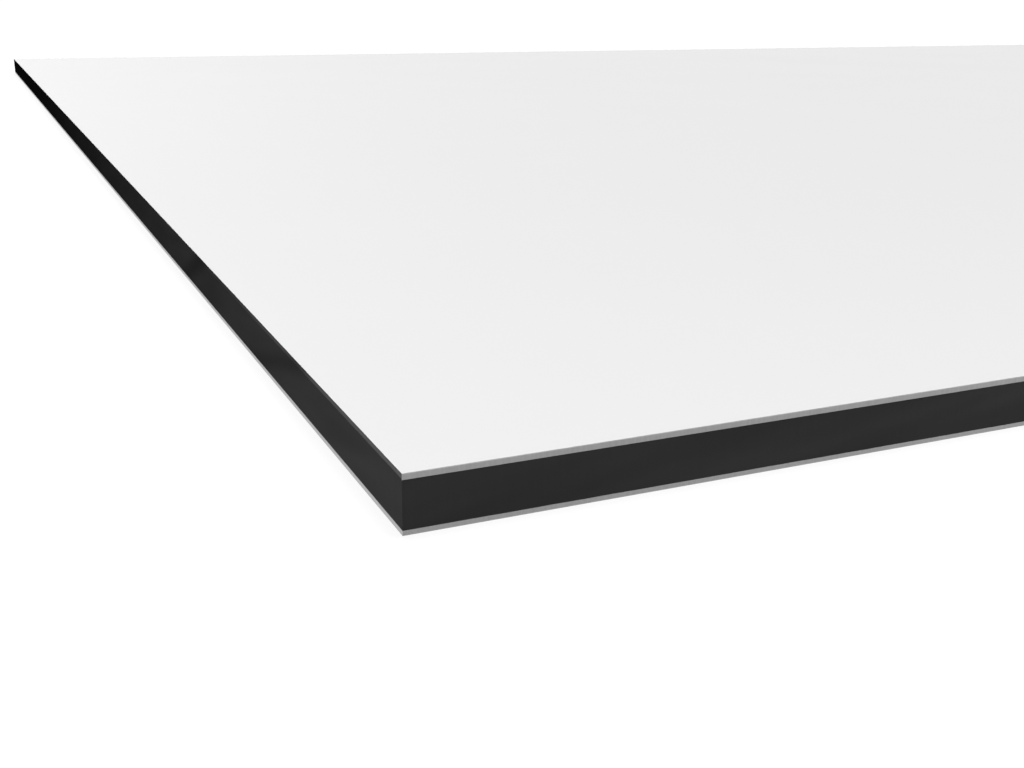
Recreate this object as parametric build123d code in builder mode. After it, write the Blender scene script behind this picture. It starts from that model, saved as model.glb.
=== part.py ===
from build123d import *
import os

# Aluminium composite panel: a sawn blank of sandwich sheet that lies on its back, face up.
# Two thin aluminium skins are bonded to a solid black polyethylene core. One saw cut goes
# through all three layers, so they end flush at every edge and the corners are square.
# The origin is the centre of the back face. X runs along the panel, Y across it and Z up.

# Driving dimensions, in millimetres
panel_length = 500.0
panel_width = 250.0
face_skin_thickness = 0.3
core_thickness = 2.4
back_skin_thickness = 0.3
edge_break = 0.03  # what a deburring blade takes off the rim of each outer face

# Heights of the two bond lines, where the core meets a skin
back_bond = back_skin_thickness
face_bond = back_bond + core_thickness


# Back skin: the plain rolled sheet underneath, with its lower rim deburred
with BuildPart() as back_skin:
    with BuildSketch(Plane.XY):
        Rectangle(panel_length, panel_width)
    extrude(amount=back_skin_thickness)
    lower_rim = back_skin.faces().sort_by(Axis.Z)[0].edges()
    chamfer(lower_rim, length=min(edge_break, back_skin_thickness / 2))

back_skin.part.label = "back_skin"


# Core: the solid slab that keeps the two skins apart
with BuildPart() as core:
    with BuildSketch(Plane.XY.offset(back_bond)):
        Rectangle(panel_length, panel_width)
    extrude(amount=core_thickness)

core.part.label = "core"


# Face skin: the coated sheet on top, with its upper rim deburred
with BuildPart() as face_skin:
    with BuildSketch(Plane.XY.offset(face_bond)):
        Rectangle(panel_length, panel_width)
    extrude(amount=face_skin_thickness)
    upper_rim = face_skin.faces().sort_by(Axis.Z)[-1].edges()
    chamfer(upper_rim, length=min(edge_break, face_skin_thickness / 2))

face_skin.part.label = "face_skin"


os.makedirs("parts", exist_ok=True)
export_step(back_skin.part, "parts/back_skin.step")
export_step(core.part, "parts/core.step")
export_step(face_skin.part, "parts/face_skin.step")
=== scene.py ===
import math

import bpy
from mathutils import Matrix, Vector


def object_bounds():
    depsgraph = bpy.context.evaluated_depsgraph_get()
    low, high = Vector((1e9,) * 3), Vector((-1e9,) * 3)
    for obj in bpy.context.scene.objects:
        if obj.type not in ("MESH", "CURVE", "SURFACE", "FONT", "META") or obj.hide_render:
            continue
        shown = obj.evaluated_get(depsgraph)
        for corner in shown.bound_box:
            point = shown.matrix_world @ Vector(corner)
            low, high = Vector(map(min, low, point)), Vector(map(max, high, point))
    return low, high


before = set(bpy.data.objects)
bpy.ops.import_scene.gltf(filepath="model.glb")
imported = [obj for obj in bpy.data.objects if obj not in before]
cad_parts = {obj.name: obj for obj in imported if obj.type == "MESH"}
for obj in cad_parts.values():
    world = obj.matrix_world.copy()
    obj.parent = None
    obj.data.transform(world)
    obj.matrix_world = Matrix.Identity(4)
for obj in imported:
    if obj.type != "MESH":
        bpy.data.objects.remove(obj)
cad_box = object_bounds()

MM = 0.001

# The panel's corners, and the top corner that stands nearest the camera
panel_low, panel_high = cad_box
near_corner = Vector((panel_low.x, panel_low.y, panel_high.z))
mid_height = (panel_low.z + panel_high.z) / 2

# The heights between which the core lies
core_heights = [corner.co.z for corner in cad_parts["core"].data.vertices]
core_low, core_high = min(core_heights), max(core_heights)

# How far a face's normal has to go one way for the face to count as looking that way. The normals
# of the deburred rims go 0.7 of the way, so one limit leaves the rims out and the other takes them in.
without_rims = 0.99
with_rims = 0.5

# Tones of the materials, as linear greys
coat_tone = 0.848
core_tone = 0.0485
cut_tone = 0.45
# The next tone is painted light: a lighter copy of the cut tone for the back skin's cut on the left
# side
painted_light_cut_tone = 0.5
# The next tone is painted shade: the dark cut of the face skin on the left side
painted_shade_cut_tone = 0.122
rolled_tone = 0.66

# How rough the materials are
coat_roughness = 0.22
core_roughness = 0.7
cut_roughness = 0.5
# The next roughness is for the face skin's left cut, which carries painted shade
painted_shade_cut_roughness = 0.6
rolled_roughness = 0.37

# How far the cuts shine like bare metal, from 0 to 1
cut_metal = 0.3
# The next metal is for the back skin's left cut, a copy that renders lighter: painted light
painted_light_cut_metal = 1.0
# The next metal is for the face skin's left cut, which carries painted shade
painted_shade_cut_metal = 0.0

# Painted shade on the cut of the face skin on the left side. It is lightest at the near corner, and
# this far along it leaves only this share of the tone. Bands of painted shade show more on it: the
# share of the tone that they leave is raised to this power.
painted_shade_reach = 46 * MM
painted_shade_leaves = 0.39
painted_shade_band_power = 2.0

# Black dragged from the core over the nearest edge of a cut: how far down or up it reaches, how far
# its line strays either way and over what length, how far it fades either way, and the share of the
# tone that it leaves
back_drag = 0.03 * MM
left_drag = 0.048 * MM
drag_stray = 0.006 * MM
drag_stray_length = 1.5 * MM
drag_fade = 0.01 * MM
drag_leaves = 0.1

# The top of the cut on the left side: a band of painted shadow under the coating, darker up to the top,
# the share of the tone that is left there, how far down the rim the coating runs, and how far its end
# fades either way
painted_shadow_band = 0.06 * MM
painted_shadow_leaves = 0.75
coat_run = 0.01 * MM
coat_fade = 0.005 * MM

# Bands of painted shade across the left side: distance from the near corner at mid height, half width,
# and share of the tone that is gone at the middle. The last number is how far a band nears the corner
# for each millimetre that it rises. The widest one is painted shade that darkens the far part of the
# side.
painted_shade_bands = [
    (22.2 * MM, 4.0 * MM, 0.28, 3.6),
    (38.5 * MM, 9.0 * MM, 0.07, 2.4),
    (47.6 * MM, 3.8 * MM, 0.36, 2.4),
    (200 * MM, 75 * MM, 0.3, 0.0),
]

# The room as the gloss shows it: white straight ahead, and greyer towards either side, at first
# quickly and then ever more slowly. The greying starts and ends where this share of a look goes
# sideways.
wall_white = 1.0
wall_grey = 0.67
wall_fall = 2.6
wall_start = 0.02
wall_end = 0.8

# How bright the room is as a light on the panel
fill_strength = 0.02

# The floor: how far it reaches each way, and the gap that keeps it clear of the panel's back
floor_reach = 3.0
floor_gap = 0.01 * MM

# The floor as seen: its own white, and the share that lamps light and the panel shades. Its own
# white makes up for the lamps' light where that fades, away from the panel.
floor_glow = 0.86
floor_paint = 0.2
fade_start = 0.4
fade_end = 1.6

# The floor's grey where it only throws light back on to the panel
floor_dim = 0.05

# The large lamp: its height, how far behind the panel's centre it hangs, its width and its power
overhead_height = 1.2
overhead_back = 80 * MM
overhead_width = 0.8
overhead_watts = 17.25

# The small lamps by the near corner. Each stands away from the side that it lights, at a place along
# that side that is counted from the corner. The front one aims nearer to the corner than it stands.
small_lamp_width = 20 * MM
left_lamp_away = 120 * MM
left_lamp_along = -25 * MM
left_lamp_height = 12 * MM
left_lamp_watts = 0.109
front_lamp_away = 110 * MM
front_lamp_along = 92 * MM
front_lamp_aim = 40 * MM
front_lamp_height = 14 * MM
front_lamp_watts = 0.068

# The low strip that lights the rest of the front edge: how far away it stands, how far right of the
# panel's centre its middle is, how high it stands, its width and depth, and its power
strip_away = 250 * MM
strip_middle = 150 * MM
strip_height = 12 * MM
strip_width = 300 * MM
strip_depth = 10 * MM
strip_watts = 0.42

# The suns for the right side and the back. They come in just above the floor, so that they hardly
# add to the light on the face: this is how far their light falls for each metre that it goes.
sun_strength = 2.2
sun_fall = 0.01

# The camera: its place from the near corner, where it looks, and its lens and sensor in millimetres
camera_offset = Vector((-16.44, -46.89, 20.96)) * MM
camera_heading = math.radians(24.771)
camera_down = math.radians(18.721)
camera_roll = math.radians(0.944)
camera_lens = 43.43
camera_sensor = 36.0


class Graph:
    """The node tree of a material or world, with a short way to add a node and feed it."""

    def __init__(self, owner):
        owner.use_nodes = True
        self.tree = owner.node_tree
        self.tree.nodes.clear()

    def add(self, kind, feeds=None, **settings):
        """Adds a node. Each feed is a value for an input, or another node's output joined to it."""
        node = self.tree.nodes.new("ShaderNode" + kind)
        for name, value in settings.items():
            setattr(node, name, value)
        for name, value in (feeds or {}).items():
            if isinstance(value, bpy.types.NodeSocket):
                self.tree.links.new(value, node.inputs[name])
            else:
                node.inputs[name].default_value = value
        return node

    def math(self, operation, first, second=0.0):
        return self.add("Math", {0: first, 1: second}, operation=operation).outputs[0]

    def times(self, first, *others):
        """The product of several outputs and values."""
        product = first
        for other in others:
            product = self.math("MULTIPLY", product, other)
        return product

    def distance(self, first, second):
        """How far apart two measures are, whichever is larger."""
        return self.math("ABSOLUTE", self.math("SUBTRACT", first, second))

    def along(self, axis):
        """How far along one axis a point lies, in metres."""
        place = self.add("TexCoord").outputs["Object"]
        return self.add("SeparateXYZ", {0: place}).outputs[axis]

    def noise(self, size, stretch=(1, 1, 1), detail=3.0, lean=0.0):
        """Noise whose features are about size metres across, longer by stretch along each axis.

        On the front and left sides they go right by lean millimetres for each one that they rise.
        """
        place = self.add("TexCoord").outputs["Object"]
        if lean:
            shear = {0: self.along("Z"), 1: (-lean, lean, 0), 2: place}
            place = self.add("VectorMath", shear, operation="MULTIPLY_ADD").outputs[0]
        spread = tuple(1 / (size * longer) for longer in stretch)
        scaled = self.add("VectorMath", {0: place, 1: spread}, operation="MULTIPLY")
        feeds = {"Vector": scaled.outputs[0], "Scale": 1.0, "Detail": detail}
        return self.add("TexNoise", feeds).outputs["Fac"]

    def vary(self, factor, least, most, lowest=0.0, highest=1.0, **settings):
        """Turns a factor from lowest to highest into a value from least to most."""
        feeds = {0: factor, 1: lowest, 2: highest, 3: least, 4: most}
        return self.add("MapRange", feeds, **settings).outputs[0]

    def around(self, noise, middle, reach):
        """Turns a noise into values up to reach either side of the middle one.

        Nearly all of a noise lies between 0.3 and 0.7, and what lies beyond is cut off there.
        """
        return self.vary(noise, middle - reach, middle + reach, lowest=0.3, highest=0.7)

    def grey(self, value):
        return self.add("CombineColor", {0: value, 1: value, 2: value}).outputs[0]

    def bump(self, height, depth):
        """A relief as deep as depth metres where height goes from 0 to 1."""
        return self.add("Bump", {"Height": height, "Distance": depth, "Strength": 1.0}).outputs[0]

    def finish(self, feeds):
        shader = self.add("BsdfPrincipled", feeds)
        self.add("OutputMaterial", {"Surface": shader.outputs[0]})


def coated_face():
    """Stoved white coating: satin, with a faint orange peel."""
    material = bpy.data.materials.new("coated_face")
    graph = Graph(material)
    tone = graph.around(graph.noise(size=60 * MM), coat_tone, reach=0.002)
    roughness = graph.around(graph.noise(size=40 * MM), coat_roughness, reach=0.005)
    peel = graph.noise(size=1.4 * MM, detail=1.0)
    graph.finish({
        "Base Color": graph.grey(tone),
        "Roughness": roughness,
        "Normal": graph.bump(peel, depth=0.0002 * MM),
    })
    return material


def sawn_edge(name, tone, metal, roughness, shade=None):
    """The sawn edge of a skin, with fine upright lines left by the teeth.

    The shade says what share of the tone is left at each place.
    """
    material = bpy.data.materials.new(name)
    graph = Graph(material)
    lines = graph.noise(size=0.12 * MM, stretch=(1, 1, 30), detail=2.0)
    lined = graph.around(lines, tone, reach=0.06 * tone)
    if shade:
        lined = graph.times(lined, shade(graph))
    graph.finish({
        "Base Color": graph.grey(lined),
        "Metallic": metal,
        "Roughness": graph.around(lines, roughness, reach=0.05),
        "Normal": graph.bump(lines, depth=0.002 * MM),
        "Specular IOR Level": 0.0,
    })
    return material


def black_core(name, shade=None):
    """Solid black polyethylene, dull from the saw, with leaning clouds and faint upright lines."""
    material = bpy.data.materials.new(name)
    graph = Graph(material)
    clouds = graph.noise(size=7 * MM, detail=1.0, lean=3.0)
    lines = graph.noise(size=0.25 * MM, stretch=(1, 1, 20), detail=2.0)
    cloudy = graph.around(clouds, core_tone, reach=0.09 * core_tone)
    tone = graph.times(cloudy, graph.around(lines, 1.0, reach=0.015))
    if shade:
        tone = graph.times(tone, shade(graph))
    graph.finish({
        "Base Color": graph.grey(tone),
        "Roughness": core_roughness,
        "Normal": graph.bump(lines, depth=0.003 * MM),
        "Specular IOR Level": 0.0,
    })
    return material


def mill_back():
    """Plain rolled aluminium, with the faint lines of the mill along the panel."""
    material = bpy.data.materials.new("mill_back")
    graph = Graph(material)
    rolled = graph.noise(size=0.5 * MM, stretch=(60, 1, 1))
    graph.finish({
        "Base Color": graph.grey(graph.around(rolled, rolled_tone, reach=0.04)),
        "Metallic": 1.0,
        "Roughness": graph.around(rolled, rolled_roughness, reach=0.05),
        "Normal": graph.bump(rolled, depth=0.002 * MM),
    })
    return material


def painted_side_shade(graph):
    """1 on the left side, and less where a band of painted shade crosses it."""
    height = graph.math("SUBTRACT", graph.along("Z"), mid_height)
    share = 1.0
    for distance, half_width, depth, lean in painted_shade_bands:
        upright = graph.math("ADD", graph.along("Y"), graph.times(height, lean))
        away = graph.distance(upright, near_corner.y + distance)
        left = graph.vary(away, 1 - depth, 1.0, highest=half_width, interpolation_type="SMOOTHSTEP")
        share = graph.times(share, left)
    return share


def dragged(graph, core_edge, reach):
    """1 on the clean cut of a skin, and little where black from the core covers its edge."""
    stray = graph.around(graph.noise(size=drag_stray_length), 0.0, reach=drag_stray)
    away = graph.math("ADD", graph.distance(graph.along("Z"), core_edge), stray)
    return graph.vary(away, drag_leaves, 1.0, lowest=reach - drag_fade, highest=reach + drag_fade)


def back_dragged(graph):
    """The cut of the back skin under the core."""
    return dragged(graph, core_low, back_drag)


def painted_shade_on_cut(graph):
    """1 at the near corner, and less further along, down to the black of the core: this is painted
    shade.

    Bands of painted shade show more on it. The coating that runs over the rim comes out as light as on
    top.
    """
    start = near_corner.y
    top = panel_high.z
    coat_end = top - coat_run
    # Painted shade along the side, lightest at the near corner
    along_side = graph.vary(graph.along("Y"), 1.0, painted_shade_leaves,
                            lowest=start, highest=start + painted_shade_reach)
    # Painted shadow under the coating, darker towards the top of the cut
    by_top = graph.vary(graph.along("Z"), 1.0, painted_shadow_leaves, lowest=top - painted_shadow_band, highest=top)
    by_core = dragged(graph, core_high, left_drag)
    # Bands of painted shade across the side, deeper on this cut
    shade_share = painted_side_shade(graph)
    deeper_shade_share = graph.math("POWER", shade_share, painted_shade_band_power)
    painted_shade = graph.times(along_side, by_top, by_core, deeper_shade_share)
    black = graph.times(shade_share, core_tone / painted_shade_cut_tone)
    white = graph.vary(graph.along("Z"), 0.0, coat_tone / painted_shade_cut_tone,
                       lowest=coat_end - coat_fade, highest=coat_end + coat_fade)
    return graph.math("MAXIMUM", graph.math("MAXIMUM", painted_shade, black), white)


def dress(node, looks):
    """Gives each face of a node the first look whose test its normal passes."""
    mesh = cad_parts[node].data
    mesh.materials.clear()
    for look, passes in looks:
        mesh.materials.append(look)
    for face in mesh.polygons:
        fitting = (slot for slot, (look, passes) in enumerate(looks) if passes(face.normal))
        face.material_index = next(fitting)


def any_way(normal):
    return True


def faces_up(normal):
    """The top, without its rims."""
    return normal.z > without_rims


def faces_down(normal):
    """The underside and its rims."""
    return normal.z < -with_rims


def faces_left(normal):
    """The left side and its rims."""
    return normal.x < -with_rims


def dress_panel():
    """Gives the pieces their looks. On the left side the cuts differ from those of the other sides: the
    face skin's cut and the core carry painted shade, and the back skin's cut is a lighter copy, painted
    light.
    """
    face_cut = sawn_edge("face_cut", cut_tone, cut_metal, cut_roughness)
    # The face skin's cut on the left side: a darker copy of the cut, painted shade
    painted_shade_cut = sawn_edge("painted_shade_cut", painted_shade_cut_tone, painted_shade_cut_metal, painted_shade_cut_roughness, painted_shade_on_cut)
    back_cut = sawn_edge("back_cut", cut_tone, cut_metal, cut_roughness, back_dragged)
    # The back skin's cut on the left side: a lighter, more metallic copy of the cut, painted light
    painted_light_cut = sawn_edge("painted_light_cut", painted_light_cut_tone, painted_light_cut_metal, cut_roughness, back_dragged)
    dress("face_skin", [(coated_face(), faces_up), (painted_shade_cut, faces_left), (face_cut, any_way)])
    # The core on the left side carries bands of painted shade
    dress("core", [(black_core("painted_shade_core", painted_side_shade), faces_left), (black_core("core"), any_way)])
    dress("back_skin", [(mill_back(), faces_down), (painted_light_cut, faces_left), (back_cut, any_way)])


def seen_directly(graph):
    """1 for what the camera sees, straight or mirrored in the panel, and 0 for what lights it."""
    rays = graph.add("LightPath").outputs
    seen = graph.math("MAXIMUM", rays["Is Camera Ray"], rays["Is Glossy Ray"])
    return graph.math("MAXIMUM", seen, rays["Is Transmission Ray"])


def make_world():
    """A white room. It adds only a weak fill to the light on the panel."""
    world = bpy.data.worlds.new("studio")
    bpy.context.scene.world = world
    graph = Graph(world)
    look = graph.add("TexCoord").outputs["Generated"]
    sideways = graph.math("ABSOLUTE", graph.add("SeparateXYZ", {0: look}).outputs["X"])
    ahead = graph.vary(sideways, 1.0, 0.0, lowest=wall_start, highest=wall_end)
    wall = graph.vary(graph.math("POWER", ahead, wall_fall), wall_grey, wall_white)
    rays = graph.add("LightPath").outputs
    shown = graph.math("MAXIMUM", wall, rays["Is Camera Ray"])
    room = graph.add("Background", {"Color": graph.grey(shown)})
    fill = graph.add("Background", {"Strength": fill_strength})
    both = {0: seen_directly(graph), 1: fill.outputs[0], 2: room.outputs[0]}
    graph.add("OutputWorld", {"Surface": graph.add("MixShader", both).outputs[0]})


def floor_look():
    """White where it is seen, with the panel's shadow on it, and dim as a light on the panel."""
    material = bpy.data.materials.new("floor")
    graph = Graph(material)
    paint = graph.add("BsdfDiffuse", {"Color": (floor_paint, floor_paint, floor_paint, 1.0)})
    place = graph.add("TexCoord").outputs["Object"]
    away = graph.add("VectorMath", {0: place}, operation="LENGTH").outputs["Value"]
    own_white = graph.vary(away, floor_glow, 1.0, lowest=fade_start, highest=fade_end)
    glow = graph.add("Emission", {"Strength": own_white})
    white = graph.add("AddShader", {0: paint.outputs[0], 1: glow.outputs[0]})
    dim = graph.add("BsdfDiffuse", {"Color": (floor_dim, floor_dim, floor_dim, 1.0)})
    both = {0: seen_directly(graph), 1: dim.outputs[0], 2: white.outputs[0]}
    graph.add("OutputMaterial", {"Surface": graph.add("MixShader", both).outputs[0]})
    return material


def make_floor():
    """A wide level floor just under the panel. It is staging and no part of the panel."""
    reach = floor_reach
    height = panel_low.z - floor_gap
    corners = [(-reach, -reach), (reach, -reach), (reach, reach), (-reach, reach)]
    mesh = bpy.data.meshes.new("floor")
    mesh.from_pydata([(x, y, height) for x, y in corners], [], [(0, 1, 2, 3)])
    mesh.materials.append(floor_look())
    floor = bpy.data.objects.new("floor", mesh)
    bpy.context.scene.collection.objects.link(floor)


def hidden_lamp(name, kind, heading, power):
    """A lamp that shines along heading. It lights the panel and is not seen, nor does it gleam."""
    data = bpy.data.lights.new(name, kind)
    data.energy = power
    lamp = bpy.data.objects.new(name, data)
    lamp.rotation_euler = Vector(heading).to_track_quat("-Z", "Y").to_euler()
    lamp.visible_camera = False
    lamp.visible_glossy = False
    bpy.context.scene.collection.objects.link(lamp)
    return lamp


def softbox(name, place, aim, size, watts):
    """A flat lamp at a place, turned towards a point. Its size is its width and depth."""
    lamp = hidden_lamp(name, "AREA", Vector(aim) - Vector(place), watts)
    lamp.location = place
    lamp.data.shape = "RECTANGLE"
    lamp.data.size, lamp.data.size_y = size


def make_lamps():
    """A large lamp overhead, low ones for the left and front sides, and a sun for each other side."""
    left, front = panel_low.x, panel_low.y
    small = (small_lamp_width, small_lamp_width)
    softbox(
        "overhead",
        place=(0, overhead_back, overhead_height),
        aim=(0, overhead_back, 0),
        size=(overhead_width, overhead_width),
        watts=overhead_watts,
    )
    softbox(
        "left_lamp",
        place=(left - left_lamp_away, front + left_lamp_along, left_lamp_height),
        aim=(left, front + left_lamp_along, 0),
        size=small,
        watts=left_lamp_watts,
    )
    softbox(
        "front_lamp",
        place=(left + front_lamp_along, front - front_lamp_away, front_lamp_height),
        aim=(left + front_lamp_aim, front, 0),
        size=small,
        watts=front_lamp_watts,
    )
    softbox(
        "front_strip",
        place=(strip_middle, front - strip_away, strip_height),
        aim=(strip_middle, front, 0),
        size=(strip_width, strip_depth),
        watts=strip_watts,
    )
    hidden_lamp("right_sun", "SUN", heading=(-1, 0, -sun_fall), power=sun_strength)
    hidden_lamp("back_sun", "SUN", heading=(0, -1, -sun_fall), power=sun_strength)


def make_camera():
    """A camera close to the near corner, turned, tilted and rolled as the photo's was."""
    forward = Vector((
        math.sin(camera_heading) * math.cos(camera_down),
        math.cos(camera_heading) * math.cos(camera_down),
        -math.sin(camera_down),
    ))
    level = Vector((math.cos(camera_heading), -math.sin(camera_heading), 0.0))
    upright = level.cross(forward)
    right = level * math.cos(camera_roll) + upright * math.sin(camera_roll)
    turn = Matrix((right, right.cross(forward), -forward)).transposed()
    data = bpy.data.cameras.new("camera")
    data.sensor_width = camera_sensor
    data.lens = camera_lens
    data.clip_start = 1 * MM
    data.clip_end = 100.0
    camera = bpy.data.objects.new("camera", data)
    camera.matrix_world = Matrix.Translation(near_corner + camera_offset) @ turn.to_4x4()
    bpy.context.scene.collection.objects.link(camera)
    bpy.context.scene.camera = camera


dress_panel()
make_world()
make_floor()
make_lamps()
make_camera()
bpy.context.scene.view_settings.view_transform = "Standard"
